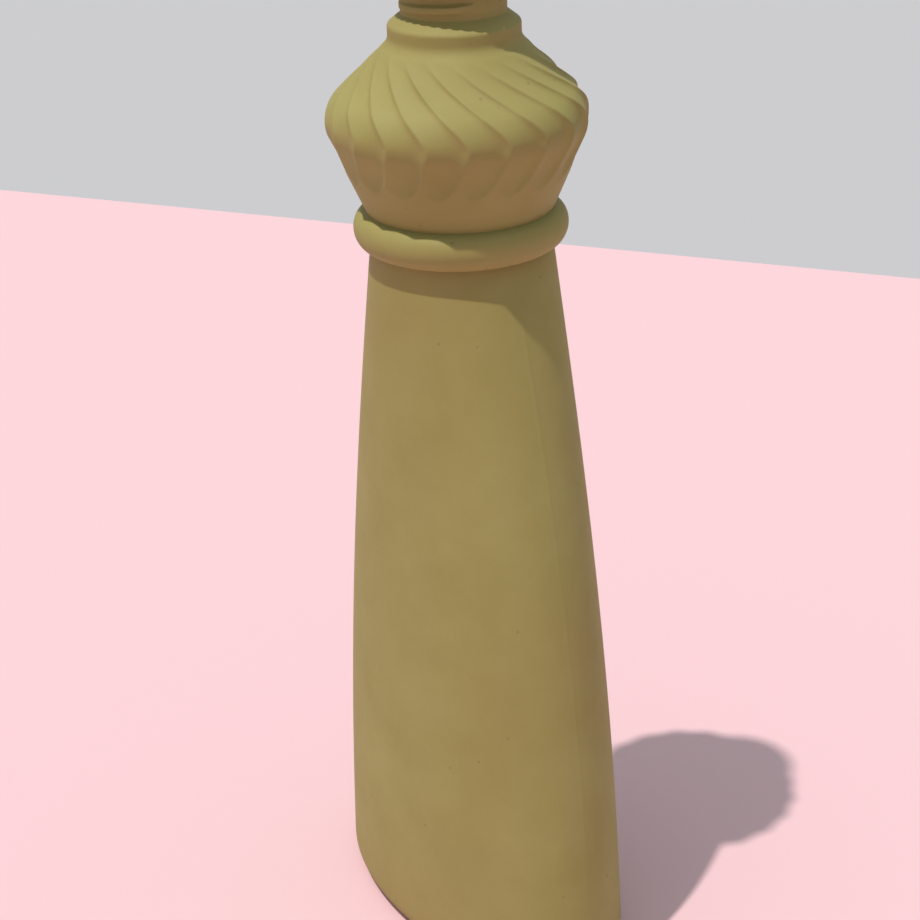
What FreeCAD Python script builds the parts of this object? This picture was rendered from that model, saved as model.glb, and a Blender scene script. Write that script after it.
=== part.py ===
"""Aftershave bottle: oval flared body, ring bead, swirl-fluted bulb, threaded neck and screw cap.

Millimetres. +Z is up, the origin is under the middle of the foot and +X runs along the foot's long side.
The cap stands backed off on its thread, so that the lowest turns on the neck are bare.
"""
import FreeCAD, Part
import math
import os

# Body: round under the ring, flaring to an oval foot
BODY_HEIGHT = 180.5
BODY_TOP_RADIUS = 21.3
FOOT_HALF_WIDTH = 49.4
FOOT_HALF_DEPTH = 27.9
WIDTH_FULLNESS = 1.91
DEPTH_FULLNESS = 1.26
HEEL_RADIUS = 5.0
FOOT_RIM_WIDTH = 4.0
FOOT_RECESS = 1.2
WALL = 3.2
FLOOR_THICKNESS = 6.0
INNER_HEEL_SHARE = 0.5

# Ring bead between body and bulb
RING_RADIUS = 24.9
RING_HEIGHT = 8.6

# Bulb: two cones joined by a rounded equator, with swirling scoops
BULB_RADIUS = 30.0
BULB_ROUNDING = 9.0
EQUATOR_ABOVE_BODY = 29.5
UPPER_SLOPE = 47.0
LOWER_SLOPE = 23.5
FLUTES = 20
FLUTE_DEPTH = 0.9
ARRIS_WIDTH = 0.36
SWIRL = 45.0
SWIRL_BACK = 9.0
FLUTE_TOP_LAND = 0.6
FLUTE_TOP_FADE = 0.45
FLUTE_END_BELOW_EQUATOR = 12.0
FLUTE_END_LENGTH = 5.0

# Collar and neck
COLLAR_RADIUS = 15.0
COLLAR_HEIGHT = 4.3
COLLAR_ROUNDING = 1.2
COLLAR_TOP_SLOPE = 38.0
COLLAR_FILLET = 1.2
NECK_RADIUS = 11.9
NECK_HEIGHT = 19.0
NECK_BORE_RADIUS = 7.75
RIM_ROUNDING = 0.6

# Right-hand screw thread, broken at the two mould seams: each ridge runs in slowly and ends short
THREAD_PITCH = 3.2
THREAD_HEIGHT = 1.0
THREAD_ROOT_HALF = 1.05
THREAD_CREST_HALF = 0.55
CAP_THREAD_SLIMMER = 0.25
THREAD_CLEARANCE = 0.35
THREAD_START_HEIGHT = 3.2
THREAD_TOP_LAND = 1.6
SEAM_BREAK = 15.0
THREAD_RUN_IN = 110.0
THREAD_RUN_OUT = 18.0
CAP_THREAD_RUN_IN = 36.0

# Pouring insert
INSERT_FIT = 0.05
INSERT_FLANGE_RADIUS = 9.9
INSERT_FLANGE = 1.2
INSERT_LENGTH = 8.0
INSERT_WALL = 1.0
INSERT_FLOOR = 1.2
POUR_HOLE_RADIUS = 3.1

# Cap
SKIRT_GAP_CLOSED = 0.8
BACKED_OFF_TURNS = 2.75
SEAL_GAP = 0.1
LINER_THICKNESS = 1.2
LINER_SIDE_GAP = 0.3
INNER_CAP_WALL = 1.15
INNER_CAP_TOP = 1.5
INNER_CAP_SHORT = 0.5
CAP_THREAD_ABOVE_EDGE = 1.8
CAP_THREAD_TURNS = 1.25
SHELL_FIT = 0.05
OUTER_CAP_WALL = 1.3
OUTER_CAP_TOP = 1.8
OUTER_CAP_ROUNDING = 2.2
GRIPS = 40
GRIP_RADIUS = 0.55
GRIP_DEPTH = 0.35
GRIP_TOP_LAND = 4.0

AXIS = FreeCAD.Vector(0, 0, 1)
ORIGIN = FreeCAD.Vector(0, 0, 0)

EQUATOR_Z = BODY_HEIGHT + EQUATOR_ABOVE_BODY
BULB_CENTRE_RADIUS = BULB_RADIUS - BULB_ROUNDING
FLUTE_STEP = 360.0 / FLUTES


def upper_cone_z(radius, inset=0.0):
    """The height where the bulb's upper cone has a radius."""
    rounding = BULB_ROUNDING - inset
    upper = math.radians(UPPER_SLOPE)
    start = BULB_CENTRE_RADIUS + rounding * math.cos(upper)
    return EQUATOR_Z + rounding * math.sin(upper) + (start - radius) / math.tan(upper)


FLUTE_TOP_Z = upper_cone_z(COLLAR_RADIUS + COLLAR_FILLET + FLUTE_TOP_LAND)
FLUTE_END_Z = EQUATOR_Z - FLUTE_END_BELOW_EQUATOR
COLLAR_TOP_Z = upper_cone_z(COLLAR_RADIUS) + COLLAR_HEIGHT
NECK_TOP_Z = COLLAR_TOP_Z + NECK_HEIGHT
BACKED_OFF_LIFT = BACKED_OFF_TURNS * THREAD_PITCH
SKIRT_Z = COLLAR_TOP_Z + SKIRT_GAP_CLOSED + BACKED_OFF_LIFT
INSERT_TOP_Z = NECK_TOP_Z + INSERT_FLANGE
LINER_Z = INSERT_TOP_Z + SEAL_GAP + BACKED_OFF_LIFT
INNER_CAP_CEILING_Z = LINER_Z + LINER_THICKNESS
INNER_CAP_TOP_Z = INNER_CAP_CEILING_Z + INNER_CAP_TOP
CAP_ROOT_RADIUS = NECK_RADIUS + THREAD_HEIGHT + THREAD_CLEARANCE
INNER_CAP_RADIUS = CAP_ROOT_RADIUS + INNER_CAP_WALL
OUTER_CAP_BORE_RADIUS = INNER_CAP_RADIUS + SHELL_FIT
OUTER_CAP_RADIUS = OUTER_CAP_BORE_RADIUS + OUTER_CAP_WALL


def polar(radius, degrees, z):
    """A point at a radius and an angle about the bottle's axis."""
    angle = math.radians(degrees)
    return FreeCAD.Vector(radius * math.cos(angle), radius * math.sin(angle), z)


def side(radius, z):
    """A point of a turned profile."""
    return FreeCAD.Vector(radius, 0, z)


def line(start, end):
    return Part.LineSegment(start, end).toShape()


def arc(start, middle, end):
    return Part.Arc(start, middle, end).toShape()


def turned(edges):
    """A solid turned from a closed profile in the XZ plane."""
    face = Part.Face(Part.Wire(edges))
    return face.revolve(ORIGIN, AXIS, 360)


def tube(inner_radius, outer_radius, z_low, z_high):
    outer = Part.makeCylinder(outer_radius, z_high - z_low, FreeCAD.Vector(0, 0, z_low))
    if inner_radius <= 0:
        return outer
    return outer.cut(Part.makeCylinder(inner_radius, z_high - z_low, FreeCAD.Vector(0, 0, z_low)))


def oval_wire(half_width, half_depth, z):
    """An oval with its long axis along X, or a circle where the two sizes are equal."""
    centre = FreeCAD.Vector(0, 0, z)
    if half_width - half_depth < 1e-6:
        return Part.Wire(Part.Circle(centre, AXIS, half_width).toShape())
    return Part.Wire(Part.Ellipse(centre, half_width, half_depth).toShape())


def body_half_sizes(z):
    """The body's half width and half depth at a height: parabolas from the round top to the foot."""
    drop = (BODY_HEIGHT - z) / BODY_HEIGHT
    wider = WIDTH_FULLNESS * drop + (1 - WIDTH_FULLNESS) * drop * drop
    deeper = DEPTH_FULLNESS * drop + (1 - DEPTH_FULLNESS) * drop * drop
    half_width = BODY_TOP_RADIUS + (FOOT_HALF_WIDTH - BODY_TOP_RADIUS) * wider
    half_depth = BODY_TOP_RADIUS + (FOOT_HALF_DEPTH - BODY_TOP_RADIUS) * deeper
    return half_width, half_depth


def body_solid(inset, z_low, edge_radius):
    """The flared body, drawn in all round by the inset, with its bottom edge rounded."""
    levels = 8
    wires = []
    for level in range(levels + 1):
        z = z_low + (BODY_HEIGHT - z_low) * level / levels
        half_width, half_depth = body_half_sizes(z)
        wires.append(oval_wire(half_width - inset, half_depth - inset, z))
    solid = Part.makeLoft(wires, True)
    bottom_edges = [edge for edge in solid.Edges if edge.BoundBox.ZMax - z_low < 1e-3]
    return solid.makeFillet(edge_radius, bottom_edges)


def foot_recess():
    """The shallow hollow under the bottle, which leaves a rim to stand on."""
    inset = HEEL_RADIUS + FOOT_RIM_WIDTH
    half_width = FOOT_HALF_WIDTH - inset
    half_depth = FOOT_HALF_DEPTH - inset
    low = oval_wire(half_width, half_depth, 0)
    high = oval_wire(half_width - FOOT_RECESS, half_depth - FOOT_RECESS, FOOT_RECESS)
    return Part.makeLoft([low, high], True, True)


def bulb_radius(z, inset=0.0):
    """The bulb's radius at a height: lower cone, rounded equator, upper cone."""
    rounding = BULB_ROUNDING - inset
    rise = z - EQUATOR_Z
    upper = math.radians(UPPER_SLOPE)
    lower = math.radians(LOWER_SLOPE)
    if rise > rounding * math.sin(upper):
        start = BULB_CENTRE_RADIUS + rounding * math.cos(upper)
        return start - (rise - rounding * math.sin(upper)) * math.tan(upper)
    if rise < -rounding * math.sin(lower):
        start = BULB_CENTRE_RADIUS + rounding * math.cos(lower)
        return start - (-rise - rounding * math.sin(lower)) * math.tan(lower)
    return BULB_CENTRE_RADIUS + math.sqrt(rounding * rounding - rise * rise)


def lower_cone_z(radius, inset=0.0):
    """The height where the bulb's lower cone has a radius."""
    rounding = BULB_ROUNDING - inset
    lower = math.radians(LOWER_SLOPE)
    start = BULB_CENTRE_RADIUS + rounding * math.cos(lower)
    return EQUATOR_Z - rounding * math.sin(lower) - (start - radius) / math.tan(lower)


def flute_turn(z):
    """How far the flutes have swirled at a height: on towards the equator, then a little back."""
    if z >= EQUATOR_Z:
        share = (z - EQUATOR_Z) / (FLUTE_TOP_Z - EQUATOR_Z)
        return SWIRL * (1 - share ** 1.5)
    share = (EQUATOR_Z - z) / FLUTE_END_BELOW_EQUATOR
    return SWIRL - SWIRL_BACK * share ** 1.5


def flute_shape(z):
    """The half angle and the depth of a scoop at a height."""
    arris_half = math.degrees(ARRIS_WIDTH / 2 / bulb_radius(z))
    full_half = FLUTE_STEP / 2 - arris_half
    if z >= EQUATOR_Z:
        share = (FLUTE_TOP_Z - z) / (FLUTE_TOP_Z - EQUATOR_Z)
        return full_half, FLUTE_DEPTH * math.sin(math.pi / 2 * min(1.0, share / FLUTE_TOP_FADE))
    share = (z - FLUTE_END_Z) / FLUTE_END_LENGTH
    if share >= 1:
        return full_half, FLUTE_DEPTH
    rounded = math.sqrt(1 - (1 - share) ** 2)
    return max(full_half * rounded, full_half * 0.12), FLUTE_DEPTH * rounded ** 2


def fluted_wire(z):
    """The bulb's outline at a height: a concave scoop and a narrow arris for each flute."""
    radius = bulb_radius(z)
    half_angle, depth = flute_shape(z)
    edges = []
    for flute in range(FLUTES):
        middle = flute * FLUTE_STEP - SWIRL + flute_turn(z)
        start = polar(radius, middle - half_angle, z)
        end = polar(radius, middle + half_angle, z)
        next_start = polar(radius, middle + FLUTE_STEP - half_angle, z)
        edges.append(arc(start, polar(radius - depth, middle, z), end))
        edges.append(arc(end, polar(radius, middle + FLUTE_STEP / 2, z), next_start))
    return Part.Wire(edges)


def fluted_bulb():
    """The fluted stretch of the bulb, lofted through its outlines."""
    upper_steps = 7
    lower_steps = 4
    end_steps = 5
    full_end_z = FLUTE_END_Z + FLUTE_END_LENGTH
    heights = [FLUTE_TOP_Z - (FLUTE_TOP_Z - EQUATOR_Z) * step / upper_steps for step in range(upper_steps)]
    heights += [EQUATOR_Z - (EQUATOR_Z - full_end_z) * step / lower_steps for step in range(lower_steps)]
    heights += [full_end_z - FLUTE_END_LENGTH * step / end_steps for step in range(end_steps + 1)]
    return Part.makeLoft([fluted_wire(z) for z in heights], True)


def ring_and_lower_cone():
    """The ring bead and the plain cone above it, up to the flutes' lower ends."""
    ring_top_z = BODY_HEIGHT + RING_HEIGHT
    ring_top_radius = bulb_radius(ring_top_z)
    crease = side(BODY_TOP_RADIUS, BODY_HEIGHT)
    crown = side(RING_RADIUS, BODY_HEIGHT + RING_HEIGHT / 2)
    top = side(ring_top_radius, ring_top_z)
    end = side(bulb_radius(FLUTE_END_Z), FLUTE_END_Z)
    low_axis = side(0, BODY_HEIGHT)
    high_axis = side(0, FLUTE_END_Z)
    return turned([line(low_axis, crease), arc(crease, crown, top), line(top, end),
                   line(end, high_axis), line(high_axis, low_axis)])


def collar_and_neck():
    """The cone above the flutes, the collar with its fillet, rounded edge and sloping top, and the neck."""
    cone_radius = COLLAR_RADIUS + COLLAR_FILLET
    cone_z = upper_cone_z(cone_radius)
    wall_z = upper_cone_z(COLLAR_RADIUS) + COLLAR_FILLET
    fillet_middle = side(COLLAR_RADIUS + COLLAR_FILLET * 0.28, (cone_z + wall_z) / 2)
    edge_z = COLLAR_TOP_Z - COLLAR_ROUNDING
    slope = math.radians(COLLAR_TOP_SLOPE)
    half_turn = (math.pi / 2 - slope) / 2
    edge_middle = side(COLLAR_RADIUS - COLLAR_ROUNDING * (1 - math.cos(half_turn)),
                       edge_z + COLLAR_ROUNDING * math.sin(half_turn))
    slope_start = side(COLLAR_RADIUS - COLLAR_ROUNDING * (1 - math.sin(slope)),
                       edge_z + COLLAR_ROUNDING * math.cos(slope))
    neck_foot = side(NECK_RADIUS, slope_start.z + (slope_start.x - NECK_RADIUS) * math.tan(slope))
    rim_z = NECK_TOP_Z - RIM_ROUNDING
    rim_middle = side(NECK_RADIUS - RIM_ROUNDING * (1 - math.sqrt(0.5)),
                      rim_z + RIM_ROUNDING * math.sqrt(0.5))
    start = side(bulb_radius(FLUTE_TOP_Z), FLUTE_TOP_Z)
    cone_end = side(cone_radius, cone_z)
    wall_start = side(COLLAR_RADIUS, wall_z)
    wall_end = side(COLLAR_RADIUS, edge_z)
    neck_end = side(NECK_RADIUS, rim_z)
    rim = side(NECK_RADIUS - RIM_ROUNDING, NECK_TOP_Z)
    low_axis = side(0, FLUTE_TOP_Z)
    high_axis = side(0, NECK_TOP_Z)
    return turned([line(low_axis, start), line(start, cone_end), arc(cone_end, fillet_middle, wall_start),
                   line(wall_start, wall_end), arc(wall_end, edge_middle, slope_start),
                   line(slope_start, neck_foot), line(neck_foot, neck_end), arc(neck_end, rim_middle, rim),
                   line(rim, high_axis), line(high_axis, low_axis)])


def upper_cavity():
    """The hollow of ring, bulb and neck, with the wall left all round below the scoops."""
    inset = WALL + FLUTE_DEPTH
    waist_radius = BODY_TOP_RADIUS - WALL
    upper = math.radians(UPPER_SLOPE)
    lower = math.radians(LOWER_SLOPE)
    rounding = BULB_ROUNDING - inset
    waist_low = side(waist_radius, BODY_HEIGHT)
    waist_high = side(waist_radius, lower_cone_z(waist_radius, inset))
    low_tangent = side(BULB_CENTRE_RADIUS + rounding * math.cos(lower),
                       EQUATOR_Z - rounding * math.sin(lower))
    equator = side(BULB_CENTRE_RADIUS + rounding, EQUATOR_Z)
    high_tangent = side(BULB_CENTRE_RADIUS + rounding * math.cos(upper),
                        EQUATOR_Z + rounding * math.sin(upper))
    bore_low = side(NECK_BORE_RADIUS, upper_cone_z(NECK_BORE_RADIUS, inset))
    bore_high = side(NECK_BORE_RADIUS, NECK_TOP_Z)
    low_axis = side(0, BODY_HEIGHT)
    high_axis = side(0, NECK_TOP_Z)
    return turned([line(low_axis, waist_low), line(waist_low, waist_high), line(waist_high, low_tangent),
                   arc(low_tangent, equator, high_tangent), line(high_tangent, bore_low),
                   line(bore_low, bore_high), line(bore_high, high_axis), line(high_axis, low_axis)])


def thread_height(degrees):
    """The height above the collar's edge of the middle of the neck's ridge, at an angle along the thread."""
    return THREAD_START_HEIGHT + THREAD_PITCH * degrees / 360


def thread_ridge(root_radius, crest_radius, start, sweep, first_z, run_in, slimmer=0.0):
    """A helical ridge from root to crest, rising along its run-in and falling at its other end."""
    root_half = THREAD_ROOT_HALF - slimmer
    full_crest_half = THREAD_CREST_HALF - slimmer
    steps = max(6, round(sweep / 18))
    sections = []
    for step in range(steps + 1):
        along = sweep * step / steps
        rise = max(0.08, min(1.0, (along / run_in) ** 2, (sweep - along) / THREAD_RUN_OUT))
        crest = root_radius + (crest_radius - root_radius) * rise
        sunk = root_radius - math.copysign(THREAD_CLEARANCE, crest_radius - root_radius)
        z = first_z + THREAD_PITCH * along / 360
        crest_half = full_crest_half + (root_half - full_crest_half) * (1 - rise)
        corners = [polar(sunk, start + along, z - root_half),
                   polar(crest, start + along, z - crest_half),
                   polar(crest, start + along, z + crest_half),
                   polar(sunk, start + along, z + root_half)]
        sections.append(Part.makePolygon(corners + corners[:1]))
    return Part.makeLoft(sections, True)


def neck_threads():
    """The neck's ridges, one for each half turn between the mould seams."""
    sweep = 180 - SEAM_BREAK
    highest = NECK_HEIGHT - THREAD_TOP_LAND
    ridges = []
    start = -180 + SEAM_BREAK / 2
    along = 0.0
    while thread_height(along + sweep) + THREAD_ROOT_HALF < highest:
        ridges.append(thread_ridge(NECK_RADIUS, NECK_RADIUS + THREAD_HEIGHT, start + along, sweep,
                                   COLLAR_TOP_Z + thread_height(along), THREAD_RUN_IN))
        along += 180
    return ridges


def bottle_shell():
    outer = body_solid(0, 0, HEEL_RADIUS)
    outer = outer.fuse([ring_and_lower_cone(), fluted_bulb(), collar_and_neck()])
    outer = outer.fuse(neck_threads())
    tightest = (FOOT_HALF_DEPTH - WALL) ** 2 / (FOOT_HALF_WIDTH - WALL)
    hollow = body_solid(WALL, FLOOR_THICKNESS, INNER_HEEL_SHARE * tightest).fuse(upper_cavity())
    return outer.cut(hollow).cut(foot_recess())


def pour_insert():
    """A plug that fills the neck's bore, hangs on its rim by a flange and has a pouring hole."""
    radius = NECK_BORE_RADIUS - INSERT_FIT
    foot_z = NECK_TOP_Z - INSERT_LENGTH
    solid = tube(0, radius, foot_z, NECK_TOP_Z)
    solid = solid.fuse(tube(0, INSERT_FLANGE_RADIUS, NECK_TOP_Z, INSERT_TOP_Z))
    solid = solid.cut(tube(0, radius - INSERT_WALL, foot_z + INSERT_FLOOR, INSERT_TOP_Z))
    return solid.cut(tube(0, POUR_HOLE_RADIUS, foot_z, INSERT_TOP_Z))


def inner_cap():
    """The threaded cup inside the cap."""
    edge_z = SKIRT_Z + INNER_CAP_SHORT
    solid = tube(CAP_ROOT_RADIUS, INNER_CAP_RADIUS, edge_z, INNER_CAP_CEILING_Z)
    solid = solid.fuse(tube(0, INNER_CAP_RADIUS, INNER_CAP_CEILING_Z, INNER_CAP_TOP_Z))
    first_z = edge_z + CAP_THREAD_ABOVE_EDGE
    between_turns = COLLAR_TOP_Z + THREAD_START_HEIGHT + THREAD_PITCH / 2
    along = 360 * (first_z - between_turns) / THREAD_PITCH
    start = -180 + SEAM_BREAK / 2 + along
    crest_radius = CAP_ROOT_RADIUS - THREAD_HEIGHT
    sweep = 360 * CAP_THREAD_TURNS
    return solid.fuse(thread_ridge(CAP_ROOT_RADIUS, crest_radius, start, sweep, first_z, CAP_THREAD_RUN_IN,
                                   CAP_THREAD_SLIMMER))


def outer_cap():
    """The shell over the inner cap, with a rounded top edge and grip grooves round its side."""
    top_z = INNER_CAP_TOP_Z + OUTER_CAP_TOP
    solid = tube(0, OUTER_CAP_RADIUS, SKIRT_Z, top_z)
    top_edges = [edge for edge in solid.Edges if edge.BoundBox.ZMin > top_z - 1e-3]
    solid = solid.makeFillet(OUTER_CAP_ROUNDING, top_edges)
    solid = solid.cut(tube(0, OUTER_CAP_BORE_RADIUS, SKIRT_Z, INNER_CAP_TOP_Z))
    groove_top_z = top_z - GRIP_TOP_LAND
    centre_radius = OUTER_CAP_RADIUS + GRIP_RADIUS - GRIP_DEPTH
    grooves = []
    for grip in range(GRIPS):
        foot = polar(centre_radius, 360 * grip / GRIPS, SKIRT_Z)
        groove = Part.makeCylinder(GRIP_RADIUS, groove_top_z - SKIRT_Z, foot)
        end = Part.makeSphere(GRIP_RADIUS, polar(centre_radius, 360 * grip / GRIPS, groove_top_z))
        grooves += [groove, end]
    return solid.cut(grooves)


def cap_liner():
    """The foam disc that seals on the insert's flange."""
    return tube(0, CAP_ROOT_RADIUS - LINER_SIDE_GAP, LINER_Z, INNER_CAP_CEILING_Z)


def main():
    os.makedirs("parts", exist_ok=True)
    pieces = {
        "bottle_shell": bottle_shell(),
        "pour_insert": pour_insert(),
        "inner_cap": inner_cap(),
        "outer_cap": outer_cap(),
        "cap_liner": cap_liner(),
    }
    for name, shape in pieces.items():
        solid = shape.Solids[0] if len(shape.Solids) == 1 else shape
        box = solid.BoundBox
        print(f"{name}: {len(shape.Solids)} solid, valid {solid.isValid()}, {solid.Volume / 1000:.2f} cm3, "
              f"z {box.ZMin:.2f} to {box.ZMax:.2f}, x {box.XLength:.2f}, y {box.YLength:.2f}")
        solid.exportStep(f"parts/{name}.step")


main()
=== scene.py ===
import math
import bpy
from mathutils import Matrix, Vector


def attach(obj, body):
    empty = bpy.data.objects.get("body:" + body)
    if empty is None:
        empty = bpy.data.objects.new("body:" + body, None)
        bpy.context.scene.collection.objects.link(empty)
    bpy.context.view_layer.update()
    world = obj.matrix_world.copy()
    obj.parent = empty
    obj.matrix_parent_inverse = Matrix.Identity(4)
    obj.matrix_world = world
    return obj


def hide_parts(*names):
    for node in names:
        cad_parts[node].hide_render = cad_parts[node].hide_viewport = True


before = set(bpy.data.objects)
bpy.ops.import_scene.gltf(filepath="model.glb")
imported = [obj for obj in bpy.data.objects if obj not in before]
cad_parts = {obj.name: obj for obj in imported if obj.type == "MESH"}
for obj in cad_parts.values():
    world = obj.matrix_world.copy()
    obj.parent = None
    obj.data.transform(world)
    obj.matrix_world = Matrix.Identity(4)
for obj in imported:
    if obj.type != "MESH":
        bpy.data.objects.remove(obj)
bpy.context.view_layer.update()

# Bottle shell: one blown glass wall with an oval flared body, a ring bead, a swirl-fluted bulb, a collar
# and a screw neck, sprayed all over with an opaque matt olive lacquer. Outside and inside are one sheet of
# quads wrapped round the axis, whose columns swirl with the flutes.

# Lengths are in millimetres. Swirl, thread and seam angles are in degrees, slopes in radians.
MM = 0.001
MERGE_DISTANCE = 0.005
FLUTES = 20
COLUMNS_PER_FLUTE = 16
BODY_HEIGHT = 180.5
BODY_TOP_RADIUS = 21.3
FOOT_HALF_WIDTH = 49.4
FOOT_HALF_DEPTH = 27.9
WIDTH_FULLNESS = 1.91
DEPTH_FULLNESS = 1.26
HEEL_RADIUS = 5.0
FOOT_RIM = 4.0
FOOT_RECESS = 1.2
WALL = 3.2
FLOOR_THICKNESS = 6.0
RING_RADIUS = 24.9
RING_HEIGHT = 8.6
BULB_CENTRE_RADIUS = 21.0
BULB_ROUNDING = 9.0
EQUATOR_Z = 210.0
UPPER_SLOPE = math.radians(47.0)
LOWER_SLOPE = math.radians(23.5)
FLUTE_DEPTH = 0.9
FLUTE_LEAN = 0.35
SWIRL = 45.0
SWIRL_BACK = 9.0
SWIRL_EASE = 1.5
FLUTE_RISE = 16.22
FLUTE_TOP_FADE = 0.45
FLUTE_DROP = 12.0
FLUTE_END = 5.0
COLLAR_RADIUS = 15.0
COLLAR_TOP_Z = 232.2
COLLAR_ROUNDING = 1.2
COLLAR_TOP_SLOPE = math.radians(38.0)
COLLAR_FILLET = 1.2
NECK_RADIUS = 11.9
NECK_TOP_Z = 251.2
NECK_BORE = 7.75
RIM_ROUNDING = 0.6
THREAD_PITCH = 3.2
THREAD_RISE = 1.0
THREAD_ROOT_HALF = 1.05
THREAD_CREST_HALF = 0.55
THREAD_START = 3.2
THREAD_TURNS = 4
SEAM_BREAK = 15.0
THREAD_RUN_IN = 110.0
THREAD_RUN_OUT = 18.0
SEAMS_APART = 180.0
SEAM_RISE = 0.12
SEAM_FADE_Z = 40.0
SEAM_TOLERANCE = 0.01


def spread(start, end, count):
    """Evenly spaced values from start to end, the end left out."""
    return [start + (end - start) * step / count for step in range(count)]


def body_half_sizes(z):
    """The body's half width and half depth at a height: parabolas from the round top to the foot."""
    drop = (BODY_HEIGHT - z) / BODY_HEIGHT
    wider = WIDTH_FULLNESS * drop + (1 - WIDTH_FULLNESS) * drop * drop
    deeper = DEPTH_FULLNESS * drop + (1 - DEPTH_FULLNESS) * drop * drop
    half_width = BODY_TOP_RADIUS + (FOOT_HALF_WIDTH - BODY_TOP_RADIUS) * wider
    half_depth = BODY_TOP_RADIUS + (FOOT_HALF_DEPTH - BODY_TOP_RADIUS) * deeper
    return half_width, half_depth


def bulb_radius(z, inset=0.0):
    """Lower cone, rounded equator and upper cone of the bulb."""
    rounding = BULB_ROUNDING - inset
    rise = z - EQUATOR_Z
    if rise > rounding * math.sin(UPPER_SLOPE):
        past = rise - rounding * math.sin(UPPER_SLOPE)
        return BULB_CENTRE_RADIUS + rounding * math.cos(UPPER_SLOPE) - past * math.tan(UPPER_SLOPE)
    if rise < -rounding * math.sin(LOWER_SLOPE):
        past = -rise - rounding * math.sin(LOWER_SLOPE)
        return BULB_CENTRE_RADIUS + rounding * math.cos(LOWER_SLOPE) - past * math.tan(LOWER_SLOPE)
    return BULB_CENTRE_RADIUS + math.sqrt(rounding ** 2 - rise ** 2)


def flute_turn(z):
    """How far the flutes have swirled at a height."""
    if z >= EQUATOR_Z:
        share = min(1.0, (z - EQUATOR_Z) / FLUTE_RISE)
        return SWIRL * (1 - share ** SWIRL_EASE)
    share = min(1.0, (EQUATOR_Z - z) / FLUTE_DROP)
    return SWIRL - SWIRL_BACK * share ** SWIRL_EASE


def flute_cut(column, z):
    """How deep the scoops are cut at a column and a height: easy after one arris, steep before the next."""
    between = ((column + COLUMNS_PER_FLUTE / 2) % COLUMNS_PER_FLUTE) / (COLUMNS_PER_FLUTE / 2) - 1
    side = 1 - FLUTE_LEAN if between > FLUTE_LEAN else 1 + FLUTE_LEAN
    across = (between - FLUTE_LEAN) / side
    if z >= EQUATOR_Z:
        share = (EQUATOR_Z + FLUTE_RISE - z) / FLUTE_RISE
        if share <= 0:
            return 0.0
        fade = math.sin(math.pi / 2 * min(1.0, share / FLUTE_TOP_FADE))
        return FLUTE_DEPTH * fade * (1 - across ** 2)
    share = (z - EQUATOR_Z + FLUTE_DROP) / FLUTE_END
    if share <= 0:
        return 0.0
    rounded = math.sqrt(1 - (1 - min(1.0, share)) ** 2)
    return FLUTE_DEPTH * max(0.0, rounded ** 2 - across ** 2)


def thread_rise(degrees, height):
    """How far the thread stands out of the neck: ridges between the mould seams that run in slowly."""
    from_seam = (degrees - SEAM_BREAK / 2) % SEAMS_APART
    sweep = SEAMS_APART - SEAM_BREAK
    if from_seam > sweep:
        return 0.0
    fade = min(1.0, (from_seam / THREAD_RUN_IN) ** 2, (sweep - from_seam) / THREAD_RUN_OUT)
    along = (degrees + SEAMS_APART - SEAM_BREAK / 2) % 360
    offset = height - THREAD_START - THREAD_PITCH * along / 360
    turns = round(offset / THREAD_PITCH)
    if turns < 0 or turns >= THREAD_TURNS:
        return 0.0
    off_middle = abs(offset - turns * THREAD_PITCH)
    flank = (THREAD_ROOT_HALF - off_middle) / (THREAD_ROOT_HALF - THREAD_CREST_HALF)
    eased = max(0.0, min(1.0, flank))
    return THREAD_RISE * fade * eased * eased * (3 - 2 * eased)


# How many rows of vertices each stretch of the profile has, and how near a corner the next row lies.
RECESS_FLOOR_SHARES = (0.0, 0.5, 0.93, 0.97)
RECESS_WALL_SHARES = (0.0, 0.1, 0.9, 1.0)
SLOPE_SHARES = (0.0, 0.4, 0.8, 0.95)
FLOOR_SHARES = (0.9, 0.0)
HEEL_ROWS = 10
BODY_ROWS = 46
RING_ROWS = 20
BULB_FOOT_ROWS = 7
FLUTE_ROWS = 56
BULB_TOP_ROWS = 3
FILLET_ROWS = 5
COLLAR_ROWS = 3
COLLAR_EDGE_ROWS = 6
THREAD_ROWS = 68
RIM_ROWS = 4
BORE_ROWS = 4
INNER_BULB_ROWS = 14
INNER_BODY_ROWS = 10
CLOSE_ROW = 0.1
CORNER_ROW = 0.2
RIM_ROW = 0.3
WIDE_ROW = 0.6
FLOOR_ROW = 1.0
RING_CLOSE_SHARE = 0.015
RING_CORNER_SHARE = 0.05


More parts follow.
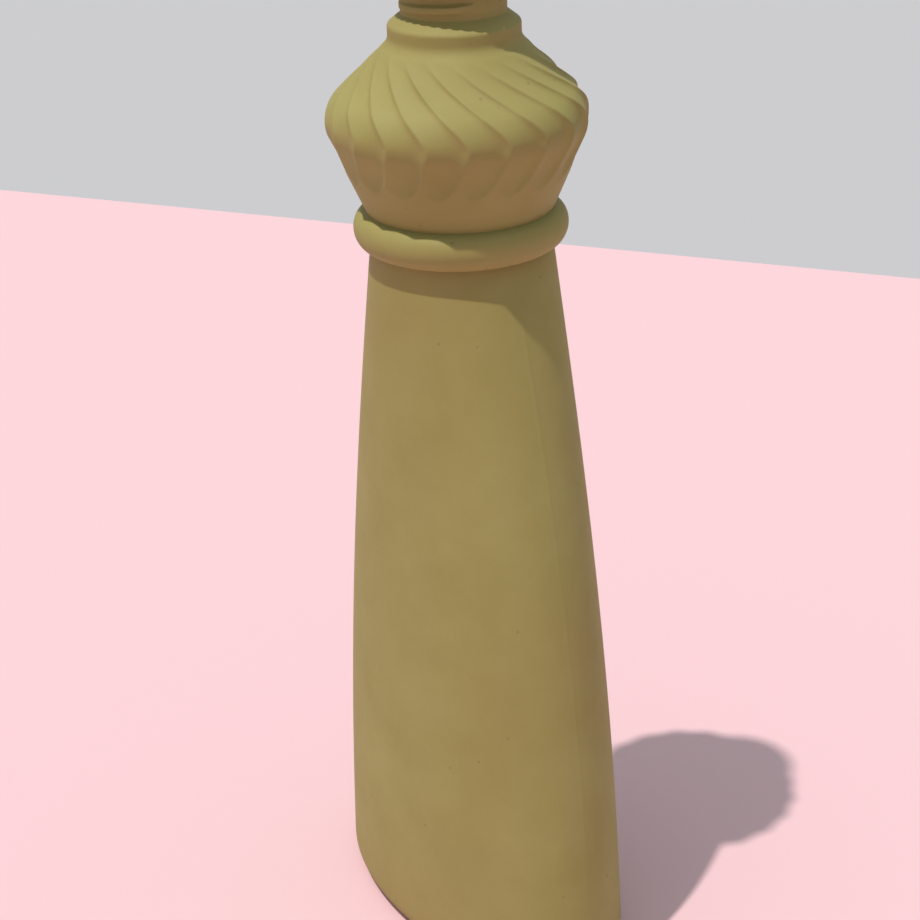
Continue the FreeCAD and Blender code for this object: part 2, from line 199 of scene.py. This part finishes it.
def shell_rows():
    """The wall's profile from under the foot, up the outside, over the rim and down the inside."""
    rows = []

    def row(half_width, half_depth, z, kind="plain"):
        rows.append((half_width, half_depth, z, kind))

    recess_x = FOOT_HALF_WIDTH - HEEL_RADIUS - FOOT_RIM
    recess_y = FOOT_HALF_DEPTH - HEEL_RADIUS - FOOT_RIM
    for share in RECESS_FLOOR_SHARES:
        row((recess_x - FOOT_RECESS) * share, (recess_y - FOOT_RECESS) * share, FOOT_RECESS)
    for share in RECESS_WALL_SHARES:
        left = FOOT_RECESS * (1 - share)
        row(recess_x - left, recess_y - left, left)
    row(recess_x + RIM_ROW, recess_y + RIM_ROW, 0)
    for angle in spread(0, math.pi / 2, HEEL_ROWS):
        inset = HEEL_RADIUS * (1 - math.sin(angle))
        z = HEEL_RADIUS * (1 - math.cos(angle))
        half_width, half_depth = body_half_sizes(z)
        row(half_width - inset, half_depth - inset, z)
    body_end = BODY_HEIGHT - WIDE_ROW
    for z in spread(HEEL_RADIUS, body_end, BODY_ROWS) + [body_end, BODY_HEIGHT - CORNER_ROW]:
        row(*body_half_sizes(z), z, "body")
    ring_top_z = BODY_HEIGHT + RING_HEIGHT
    ring_top = bulb_radius(ring_top_z)
    bulge = RING_RADIUS - (BODY_TOP_RADIUS + ring_top) / 2
    ring_end = 1 - RING_CORNER_SHARE
    ring_shares = [0.0, RING_CLOSE_SHARE] + spread(RING_CORNER_SHARE, ring_end, RING_ROWS)
    for share in ring_shares + [ring_end, 1 - RING_CLOSE_SHARE, 1.0]:
        chord = BODY_TOP_RADIUS + (ring_top - BODY_TOP_RADIUS) * share
        radius = chord + bulge * math.sqrt(max(0.0, 1 - (2 * share - 1) ** 2))
        row(radius, radius, BODY_HEIGHT + RING_HEIGHT * share)
    flute_end_z = EQUATOR_Z - FLUTE_DROP
    for z in [ring_top_z + CORNER_ROW] + spread(ring_top_z + WIDE_ROW, flute_end_z, BULB_FOOT_ROWS):
        row(bulb_radius(z), bulb_radius(z), z)
    for z in spread(flute_end_z, EQUATOR_Z + FLUTE_RISE, FLUTE_ROWS):
        row(bulb_radius(z), bulb_radius(z), z, "flutes")
    lower_fillet = COLLAR_RADIUS + COLLAR_FILLET
    upper_tangent = BULB_CENTRE_RADIUS + BULB_ROUNDING * math.cos(UPPER_SLOPE)
    tangent_z = EQUATOR_Z + BULB_ROUNDING * math.sin(UPPER_SLOPE)
    fillet_z = tangent_z + (upper_tangent - lower_fillet) / math.tan(UPPER_SLOPE)
    wall_z = tangent_z + (upper_tangent - COLLAR_RADIUS) / math.tan(UPPER_SLOPE) + COLLAR_FILLET
    for z in spread(EQUATOR_Z + FLUTE_RISE, fillet_z, BULB_TOP_ROWS):
        row(bulb_radius(z), bulb_radius(z), z)
    for share in spread(0, 1, FILLET_ROWS):
        radius = COLLAR_RADIUS + COLLAR_FILLET * (1 - share) ** 2
        row(radius, radius, fillet_z + (wall_z - fillet_z) * share)
    edge_z = COLLAR_TOP_Z - COLLAR_ROUNDING
    for z in spread(wall_z, edge_z, COLLAR_ROWS):
        row(COLLAR_RADIUS, COLLAR_RADIUS, z)
    for angle in spread(0, math.pi / 2 - COLLAR_TOP_SLOPE, COLLAR_EDGE_ROWS):
        radius = COLLAR_RADIUS - COLLAR_ROUNDING * (1 - math.cos(angle))
        row(radius, radius, edge_z + COLLAR_ROUNDING * math.sin(angle))
    slope_start = COLLAR_RADIUS - COLLAR_ROUNDING * (1 - math.sin(COLLAR_TOP_SLOPE))
    slope_z = edge_z + COLLAR_ROUNDING * math.cos(COLLAR_TOP_SLOPE)
    neck_foot_z = slope_z + (slope_start - NECK_RADIUS) * math.tan(COLLAR_TOP_SLOPE)
    for share in SLOPE_SHARES:
        radius = slope_start + (NECK_RADIUS - slope_start) * share
        row(radius, radius, slope_z + (neck_foot_z - slope_z) * share)
    rim_z = NECK_TOP_Z - RIM_ROUNDING
    neck_start = [neck_foot_z, neck_foot_z + CLOSE_ROW]
    for z in neck_start + spread(neck_foot_z + CORNER_ROW, rim_z, THREAD_ROWS):
        row(NECK_RADIUS, NECK_RADIUS, z, "thread")
    for angle in spread(0, math.pi / 2, RIM_ROWS) + [math.pi / 2]:
        radius = NECK_RADIUS - RIM_ROUNDING * (1 - math.cos(angle))
        row(radius, radius, rim_z + RIM_ROUNDING * math.sin(angle))
    row(NECK_BORE + CLOSE_ROW, NECK_BORE + CLOSE_ROW, NECK_TOP_Z)
    inset = WALL + FLUTE_DEPTH
    inner_tangent = BULB_CENTRE_RADIUS + (BULB_ROUNDING - inset) * math.cos(UPPER_SLOPE)
    inner_z = EQUATOR_Z + (BULB_ROUNDING - inset) * math.sin(UPPER_SLOPE)
    bore_foot_z = inner_z + (inner_tangent - NECK_BORE) / math.tan(UPPER_SLOPE)
    for z in spread(NECK_TOP_Z - CLOSE_ROW, bore_foot_z, BORE_ROWS):
        row(NECK_BORE, NECK_BORE, z)
    waist = BODY_TOP_RADIUS - WALL
    for z in spread(bore_foot_z, BODY_HEIGHT, INNER_BULB_ROWS):
        radius = max(waist, bulb_radius(z, inset)) if z < EQUATOR_Z else bulb_radius(z, inset)
        row(radius, radius, z)
    for z in spread(BODY_HEIGHT, FLOOR_THICKNESS + FLOOR_ROW, INNER_BODY_ROWS):
        half_width, half_depth = body_half_sizes(z)
        row(half_width - WALL, half_depth - WALL, z)
    for share in FLOOR_SHARES:
        row((FOOT_HALF_WIDTH - WALL) * share, (FOOT_HALF_DEPTH - WALL) * share, FLOOR_THICKNESS)
    return rows


def flat_sheet(name, columns, rows):
    """Adds the flat grid that is wrapped into a wall, with a line of vertices for each row."""
    bpy.ops.object.select_all(action="DESELECT")
    bpy.ops.mesh.primitive_grid_add(x_subdivisions=columns, y_subdivisions=len(rows) - 1, size=1.0)
    sheet = bpy.context.object
    sheet.name = name
    return sheet


def close_sheet():
    """Joins the seam and the poles of the wrapped sheet and turns its faces outwards."""
    bpy.ops.object.mode_set(mode="EDIT")
    bpy.ops.mesh.select_all(action="SELECT")
    bpy.ops.mesh.remove_doubles(threshold=MERGE_DISTANCE * MM)
    bpy.ops.mesh.normals_make_consistent(inside=False)
    bpy.ops.object.mode_set(mode="OBJECT")


def wrap_shell(sheet, rows, columns):
    """Lays each vertex of a flat grid on the bottle's wall."""
    for vertex in sheet.data.vertices:
        column = round((vertex.co.x + 0.5) * columns)
        half_width, half_depth, z, kind = rows[round((vertex.co.y + 0.5) * (len(rows) - 1))]
        degrees = column * 360 / columns - SWIRL + flute_turn(z)
        out = 0.0
        if kind == "flutes":
            out = -flute_cut(column, z)
        if kind == "thread":
            out = thread_rise(degrees, z - COLLAR_TOP_Z)
        off_seam = (degrees + SEAMS_APART / 2) % SEAMS_APART - SEAMS_APART / 2
        if kind == "body" and abs(off_seam) < SEAM_TOLERANCE:
            out = SEAM_RISE * min(1.0, z / SEAM_FADE_Z)
        angle = math.radians(degrees)
        x = (half_width + out) * math.cos(angle)
        y = (half_depth + out) * math.sin(angle)
        vertex.co = Vector((x, y, z)) * MM


shell_profile = shell_rows()
shell_columns = FLUTES * COLUMNS_PER_FLUTE
shell = flat_sheet("lacquered_bottle", shell_columns, shell_profile)
wrap_shell(shell, shell_profile, shell_columns)
close_sheet()
bpy.ops.object.shade_smooth()

lacquer = bpy.data.materials.new("olive_lacquer")
lacquer.use_nodes = True
nodes = lacquer.node_tree.nodes
links = lacquer.node_tree.links
surface = nodes["Principled BSDF"]
surface.inputs["Specular IOR Level"].default_value = 0.3
place = nodes.new("ShaderNodeTexCoord")

mottle = nodes.new("ShaderNodeTexNoise")
mottle.inputs["Scale"].default_value = 45.0
mottle.inputs["Detail"].default_value = 5.0
mottle.inputs["Roughness"].default_value = 0.6
links.new(place.outputs["Object"], mottle.inputs["Vector"])
olive = nodes.new("ShaderNodeValToRGB")
olive.color_ramp.elements[0].position = 0.3
olive.color_ramp.elements[0].color = (0.345, 0.29, 0.09, 1)
olive.color_ramp.elements[1].position = 0.7
olive.color_ramp.elements[1].color = (0.39, 0.338, 0.117, 1)
links.new(mottle.outputs["Fac"], olive.inputs["Fac"])

drift = nodes.new("ShaderNodeTexNoise")
drift.inputs["Scale"].default_value = 14.0
drift.inputs["Detail"].default_value = 2.0
links.new(place.outputs["Object"], drift.inputs["Vector"])
patchy = nodes.new("ShaderNodeMapRange")
patchy.inputs["From Min"].default_value = 0.45
patchy.inputs["From Max"].default_value = 0.75
patchy.inputs["To Max"].default_value = 0.45
links.new(drift.outputs["Fac"], patchy.inputs["Value"])
warmer = nodes.new("ShaderNodeMix")
warmer.data_type = "RGBA"
warmer.inputs["B"].default_value = (0.355, 0.248, 0.088, 1)
links.new(patchy.outputs["Result"], warmer.inputs["Factor"])
links.new(olive.outputs["Color"], warmer.inputs["A"])

# Lighter on the sharp arrises and rims: partly rubbed lacquer, partly a painted highlight where the ridges
# catch the light.
edges = nodes.new("ShaderNodeNewGeometry")
rubbed_and_highlit_mask = nodes.new("ShaderNodeMapRange")
rubbed_and_highlit_mask.inputs["From Min"].default_value = 0.52
rubbed_and_highlit_mask.inputs["From Max"].default_value = 0.62
rubbed_and_highlit_mask.inputs["To Max"].default_value = 0.4
links.new(edges.outputs["Pointiness"], rubbed_and_highlit_mask.inputs["Value"])
rubbed_and_highlit = nodes.new("ShaderNodeMix")
rubbed_and_highlit.data_type = "RGBA"
rubbed_and_highlit.inputs["B"].default_value = (0.52, 0.46, 0.25, 1)
links.new(rubbed_and_highlit_mask.outputs["Result"], rubbed_and_highlit.inputs["Factor"])
links.new(warmer.outputs["Result"], rubbed_and_highlit.inputs["A"])

dust = nodes.new("ShaderNodeTexVoronoi")
dust.inputs["Scale"].default_value = 130.0
links.new(place.outputs["Object"], dust.inputs["Vector"])
speck = nodes.new("ShaderNodeMapRange")
speck.inputs["From Min"].default_value = 0.035
speck.inputs["From Max"].default_value = 0.06
speck.inputs["To Min"].default_value = 0.5
speck.inputs["To Max"].default_value = 0.0
links.new(dust.outputs["Distance"], speck.inputs["Value"])
speckled = nodes.new("ShaderNodeMix")
speckled.data_type = "RGBA"
speckled.inputs["B"].default_value = (0.24, 0.16, 0.06, 1)
links.new(speck.outputs["Result"], speckled.inputs["Factor"])
links.new(rubbed_and_highlit.outputs["Result"], speckled.inputs["A"])
links.new(speckled.outputs["Result"], surface.inputs["Base Color"])

grain = nodes.new("ShaderNodeTexNoise")
grain.inputs["Scale"].default_value = 900.0
grain.inputs["Detail"].default_value = 3.0
links.new(place.outputs["Object"], grain.inputs["Vector"])
dullness = nodes.new("ShaderNodeMapRange")
dullness.name = "dullness"
dullness.inputs["To Min"].default_value = 0.56
dullness.inputs["To Max"].default_value = 0.74
links.new(grain.outputs["Fac"], dullness.inputs["Value"])
links.new(dullness.outputs["Result"], surface.inputs["Roughness"])
orange_peel = nodes.new("ShaderNodeBump")
orange_peel.inputs["Strength"].default_value = 0.1
orange_peel.inputs["Distance"].default_value = 0.0002
links.new(grain.outputs["Fac"], orange_peel.inputs["Height"])
links.new(orange_peel.outputs["Normal"], surface.inputs["Normal"])

shell.data.materials.append(lacquer)
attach(shell, "bottle")
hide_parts("bottle_shell")

# Pouring insert: a soft natural polyethylene plug, moulded in one, pressed into the neck's bore.
# Its flange lies on the glass rim and the drilled floor holds the splash back.


def dress(node, material):
    """Gives a CAD solid, which shows as it is, its finish."""
    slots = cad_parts[node].data.materials
    slots.clear()
    slots.append(material)


insert = bpy.data.materials.new("natural_polyethylene")
insert.use_nodes = True
nodes = insert.node_tree.nodes
links = insert.node_tree.links
surface = nodes["Principled BSDF"]
surface.inputs["Subsurface Weight"].default_value = 0.25
surface.inputs["Subsurface Radius"].default_value = (0.002, 0.002, 0.0018)
place = nodes.new("ShaderNodeTexCoord")
place.name = "place"
cloud = nodes.new("ShaderNodeTexNoise")
cloud.name = "cloud"
cloud.inputs["Scale"].default_value = 160.0
cloud.inputs["Detail"].default_value = 4.0
links.new(place.outputs["Object"], cloud.inputs["Vector"])
milky = nodes.new("ShaderNodeValToRGB")
milky.name = "milky"
milky.color_ramp.elements[0].color = (0.70, 0.69, 0.63, 1)
milky.color_ramp.elements[1].color = (0.82, 0.81, 0.76, 1)
links.new(cloud.outputs["Fac"], milky.inputs["Fac"])
geometry = nodes.new("ShaderNodeNewGeometry")
softened = nodes.new("ShaderNodeBevel")
softened.inputs["Radius"].default_value = 0.0004
facing = nodes.new("ShaderNodeVectorMath")
facing.operation = "DOT_PRODUCT"
links.new(geometry.outputs["Normal"], facing.inputs[0])
links.new(softened.outputs["Normal"], facing.inputs[1])
edge = nodes.new("ShaderNodeMapRange")
edge.inputs["From Min"].default_value = 0.98
edge.inputs["From Max"].default_value = 0.8
edge.inputs["To Max"].default_value = 0.5
links.new(facing.outputs["Value"], edge.inputs["Value"])
scuffed = nodes.new("ShaderNodeMix")
scuffed.data_type = "RGBA"
scuffed.inputs["B"].default_value = (0.9, 0.89, 0.86, 1)
links.new(edge.outputs["Result"], scuffed.inputs["Factor"])
links.new(milky.outputs["Color"], scuffed.inputs["A"])
links.new(scuffed.outputs["Result"], surface.inputs["Base Color"])
wax = nodes.new("ShaderNodeMapRange")
wax.name = "wax"
wax.inputs["To Min"].default_value = 0.34
wax.inputs["To Max"].default_value = 0.52
links.new(cloud.outputs["Fac"], wax.inputs["Value"])
links.new(wax.outputs["Result"], surface.inputs["Roughness"])
drag = nodes.new("ShaderNodeBump")
drag.name = "drag"
drag.inputs["Strength"].default_value = 0.08
drag.inputs["Distance"].default_value = 0.0003
links.new(cloud.outputs["Fac"], drag.inputs["Height"])
links.new(softened.outputs["Normal"], drag.inputs["Normal"])
links.new(drag.outputs["Normal"], surface.inputs["Normal"])
dress("pour_insert", insert)

# Inner cap: the moulded cup in ivory polypropylene that runs on the neck's thread, pushed into the outer cap.
# Only its edge and thread show from below.
core = insert.copy()
core.name = "ivory_polypropylene"
nodes = core.node_tree.nodes
nodes["Principled BSDF"].inputs["Subsurface Weight"].default_value = 0.1
nodes["cloud"].inputs["Scale"].default_value = 70.0
nodes["milky"].color_ramp.elements[0].color = (0.62, 0.58, 0.47, 1)
nodes["milky"].color_ramp.elements[1].color = (0.74, 0.71, 0.61, 1)
nodes["wax"].inputs["To Min"].default_value = 0.28
nodes["wax"].inputs["To Max"].default_value = 0.42
dress("inner_cap", core)

# Cap liner: the sealing disc punched from white closed-cell foam, lying under the inner cap's ceiling.
# Its fine cells are a dense bump.
liner = insert.copy()
liner.name = "white_foam"
nodes = liner.node_tree.nodes
links = liner.node_tree.links
nodes["milky"].color_ramp.elements[0].color = (0.78, 0.78, 0.75, 1)
nodes["milky"].color_ramp.elements[1].color = (0.88, 0.88, 0.86, 1)
nodes["wax"].inputs["To Min"].default_value = 0.8
nodes["wax"].inputs["To Max"].default_value = 0.95
cells = nodes.new("ShaderNodeTexVoronoi")
cells.inputs["Scale"].default_value = 2500.0
links.new(nodes["place"].outputs["Object"], cells.inputs["Vector"])
links.new(cells.outputs["Distance"], nodes["drag"].inputs["Height"])
nodes["drag"].inputs["Strength"].default_value = 0.4
dress("cap_liner", liner)

# Outer cap: the moulded polypropylene shell that the hand turns, in the bottle's olive, with grip grooves
# round its side and a rounded top edge. It is pushed over the threaded cup and stays on it.

# Lengths are in millimetres here too.
GRIPS = 40
COLUMNS_PER_GRIP = 12
CAP_RADIUS = 15.75
CAP_BORE = 14.45
CAP_SKIRT_Z = 241.8
CAP_CEILING_Z = 264.0
CAP_TOP_Z = 265.8
CAP_ROUNDING = 2.2
CAP_EDGE_ROUNDING = 0.25
GRIP_RADIUS = 0.55
GRIP_DEPTH = 0.35
GRIP_TOP_Z = 261.8
GRIP_END = 0.6
CAP_CREASE = math.radians(50)
CAP_TOP_SHARES = (0.8, 0.4, 0.0)
CAP_CLOSE_ROW = 0.1
CAP_BORE_ROW = 8.0
CAP_EDGE_ROWS = 4
GRIP_ROWS = 6
GRIP_END_ROWS = 8
CAP_TOP_ROWS = 9


def grip_cut(column, z):
    """How deep the grip grooves are at a column and a height: round in section, with round upper ends."""
    off_middle = (column + COLUMNS_PER_GRIP / 2) % COLUMNS_PER_GRIP - COLUMNS_PER_GRIP / 2
    across = off_middle * 2 * math.pi * CAP_RADIUS / (GRIPS * COLUMNS_PER_GRIP)
    past_end = max(0.0, z - GRIP_TOP_Z)
    left = GRIP_RADIUS ** 2 - across ** 2 - past_end ** 2
    return max(0.0, math.sqrt(max(0.0, left)) - (GRIP_RADIUS - GRIP_DEPTH))


def cap_rows():
    """The cap's profile from its ceiling, down the bore, round the skirt's edge and up the outside."""
    rows = [(0.0, CAP_CEILING_Z), (CAP_BORE / 2, CAP_CEILING_Z), (CAP_BORE - CAP_CLOSE_ROW, CAP_CEILING_Z)]
    for z in (CAP_CEILING_Z - CAP_CLOSE_ROW, CAP_SKIRT_Z + CAP_BORE_ROW, CAP_SKIRT_Z + CAP_CLOSE_ROW):
        rows.append((CAP_BORE, z))
    rows.append((CAP_BORE + CAP_CLOSE_ROW, CAP_SKIRT_Z))
    rows.append((CAP_RADIUS - GRIP_DEPTH - CAP_EDGE_ROUNDING, CAP_SKIRT_Z))
    for angle in spread(0, math.pi / 2, CAP_EDGE_ROWS):
        radius = CAP_RADIUS - CAP_EDGE_ROUNDING * (1 - math.sin(angle))
        rows.append((radius, CAP_SKIRT_Z + CAP_EDGE_ROUNDING * (1 - math.cos(angle))))
    grip_end_z = GRIP_TOP_Z + GRIP_END
    heights = spread(CAP_SKIRT_Z + CAP_EDGE_ROUNDING, GRIP_TOP_Z, GRIP_ROWS)
    heights += spread(GRIP_TOP_Z, grip_end_z, GRIP_END_ROWS)
    heights.append(grip_end_z + CAP_CLOSE_ROW)
    rows += [(CAP_RADIUS, z) for z in heights]
    for angle in spread(0, math.pi / 2, CAP_TOP_ROWS) + [math.pi / 2]:
        radius = CAP_RADIUS - CAP_ROUNDING * (1 - math.cos(angle))
        rows.append((radius, CAP_TOP_Z - CAP_ROUNDING * (1 - math.sin(angle))))
    return rows + [(CAP_RADIUS * share, CAP_TOP_Z) for share in CAP_TOP_SHARES]


cap_profile = cap_rows()
cap_columns = GRIPS * COLUMNS_PER_GRIP
cap = flat_sheet("gripped_cap", cap_columns, cap_profile)
for vertex in cap.data.vertices:
    column = round((vertex.co.x + 0.5) * cap_columns)
    radius, z = cap_profile[round((vertex.co.y + 0.5) * (len(cap_profile) - 1))]
    if radius > CAP_RADIUS - CAP_EDGE_ROUNDING:
        radius -= grip_cut(column, z)
    angle = math.radians(column * 360 / cap_columns)
    vertex.co = Vector((radius * math.cos(angle), radius * math.sin(angle), z)) * MM
close_sheet()
bpy.ops.object.shade_smooth_by_angle(angle=CAP_CREASE)

# The copy keeps the lacquer's lighter sharp edges: partly rubbed plastic, partly a painted highlight on the
# grip ridges and rims.
moulded = lacquer.copy()
moulded.name = "olive_polypropylene"
sheen = moulded.node_tree.nodes["dullness"]
sheen.inputs["To Min"].default_value = 0.38
sheen.inputs["To Max"].default_value = 0.55
cap.data.materials.append(moulded)
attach(cap, "cap")
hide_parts("outer_cap")

# Studio, in metres: a pale rose table top, a pale grey wall tone behind it that mirrors and glass would
# show too, a key lamp high on the left and a soft light that comes mostly from overhead.
TABLE_HALF_WIDTH = 1.6
TABLE_BACK = 0.505
TABLE_FRONT = 1.6
TABLE_TURN = math.radians(-23.0)
VIEW_AZIMUTH = math.radians(58.83)
TO_KEY = Vector((-0.286, -0.191, 1.0))

bpy.ops.object.select_all(action="DESELECT")
bpy.ops.mesh.primitive_plane_add(size=1.0)
table = bpy.context.object
table.name = "table_top"
for vertex in table.data.vertices:
    away = TABLE_BACK if vertex.co.y > 0 else -TABLE_FRONT
    vertex.co = Vector((vertex.co.x * 2 * TABLE_HALF_WIDTH, away, 0))
table.data.transform(Matrix.Rotation(VIEW_AZIMUTH + TABLE_TURN, 4, "Z"))
rose = bpy.data.materials.new("rose_paper")
rose.use_nodes = True
surface = rose.node_tree.nodes["Principled BSDF"]
surface.inputs["Base Color"].default_value = (0.8, 0.51, 0.545, 1)
surface.inputs["Roughness"].default_value = 0.9
table.data.materials.append(rose)

world = bpy.data.worlds.new("studio")
bpy.context.scene.world = world
world.use_nodes = True
world_nodes = world.node_tree.nodes
world_links = world.node_tree.links
soft = world_nodes["Background"]
soft.inputs["Color"].default_value = (0.8, 0.96, 1.0, 1)
up = world_nodes.new("ShaderNodeTexCoord")
height = world_nodes.new("ShaderNodeSeparateXYZ")
world_links.new(up.outputs["Generated"], height.inputs["Vector"])
overhead = world_nodes.new("ShaderNodeMapRange")
overhead.interpolation_type = "SMOOTHSTEP"
overhead.inputs["To Min"].default_value = 0.0
overhead.inputs["To Max"].default_value = 0.84
world_links.new(height.outputs["Z"], overhead.inputs["Value"])
world_links.new(overhead.outputs["Result"], soft.inputs["Strength"])
wall_tone = world_nodes.new("ShaderNodeBackground")
wall_tone.inputs["Color"].default_value = (0.61, 0.61, 0.63, 1)
wall_tone.inputs["Strength"].default_value = 1.0
ray = world_nodes.new("ShaderNodeLightPath")
either = world_nodes.new("ShaderNodeMixShader")
seen = ray.outputs["Is Camera Ray"]
for mirrored in ("Is Glossy Ray", "Is Transmission Ray"):
    wider = world_nodes.new("ShaderNodeMath")
    wider.operation = "MAXIMUM"
    world_links.new(seen, wider.inputs[0])
    world_links.new(ray.outputs[mirrored], wider.inputs[1])
    seen = wider.outputs["Value"]
world_links.new(seen, either.inputs["Fac"])
world_links.new(soft.outputs["Background"], either.inputs[1])
world_links.new(wall_tone.outputs["Background"], either.inputs[2])
world_links.new(either.outputs["Shader"], world_nodes["World Output"].inputs["Surface"])

key_data = bpy.data.lights.new("key", "SUN")
key_data.energy = 2.55
key_data.angle = math.radians(1.2)
key_data.color = (1.0, 0.98, 0.93)
key = bpy.data.objects.new("key", key_data)
bpy.context.scene.collection.objects.link(key)
to_key = Matrix.Rotation(VIEW_AZIMUTH, 3, "Z") @ TO_KEY
key.rotation_euler = to_key.to_track_quat("Z", "Y").to_euler()

# Camera: the photograph's own viewpoint, a little above the bottle and looking down at it, with the
# picture's slight roll. It stands in metres, its sensor is in millimetres and its focal length in pixels.
SENSOR_WIDTH = 36.0
CAMERA_DISTANCE = 0.4508
CAMERA_HEIGHT = 0.3318
CAMERA_ASIDE = 0.00227
CAMERA_PITCH = math.radians(24.7)
CAMERA_ROLL = math.radians(2.12)
FOCAL_PIXELS = 2036.2
PICTURE_PIXELS = 920

camera_data = bpy.data.cameras.new("photo_view")
camera_data.sensor_width = SENSOR_WIDTH
camera_data.lens = SENSOR_WIDTH * FOCAL_PIXELS / PICTURE_PIXELS
camera = bpy.data.objects.new("photo_view", camera_data)
bpy.context.scene.collection.objects.link(camera)
turn = Matrix.Rotation(VIEW_AZIMUTH, 4, "Z")
tilt = Matrix.Rotation(math.pi / 2 - CAMERA_PITCH, 4, "X")
roll = Matrix.Rotation(-CAMERA_ROLL, 4, "Z")
stand = Matrix.Translation((-CAMERA_ASIDE, -CAMERA_DISTANCE, CAMERA_HEIGHT))
camera.matrix_world = turn @ stand @ tilt @ roll
bpy.context.scene.camera = camera

bpy.context.scene.view_settings.view_transform = "Standard"
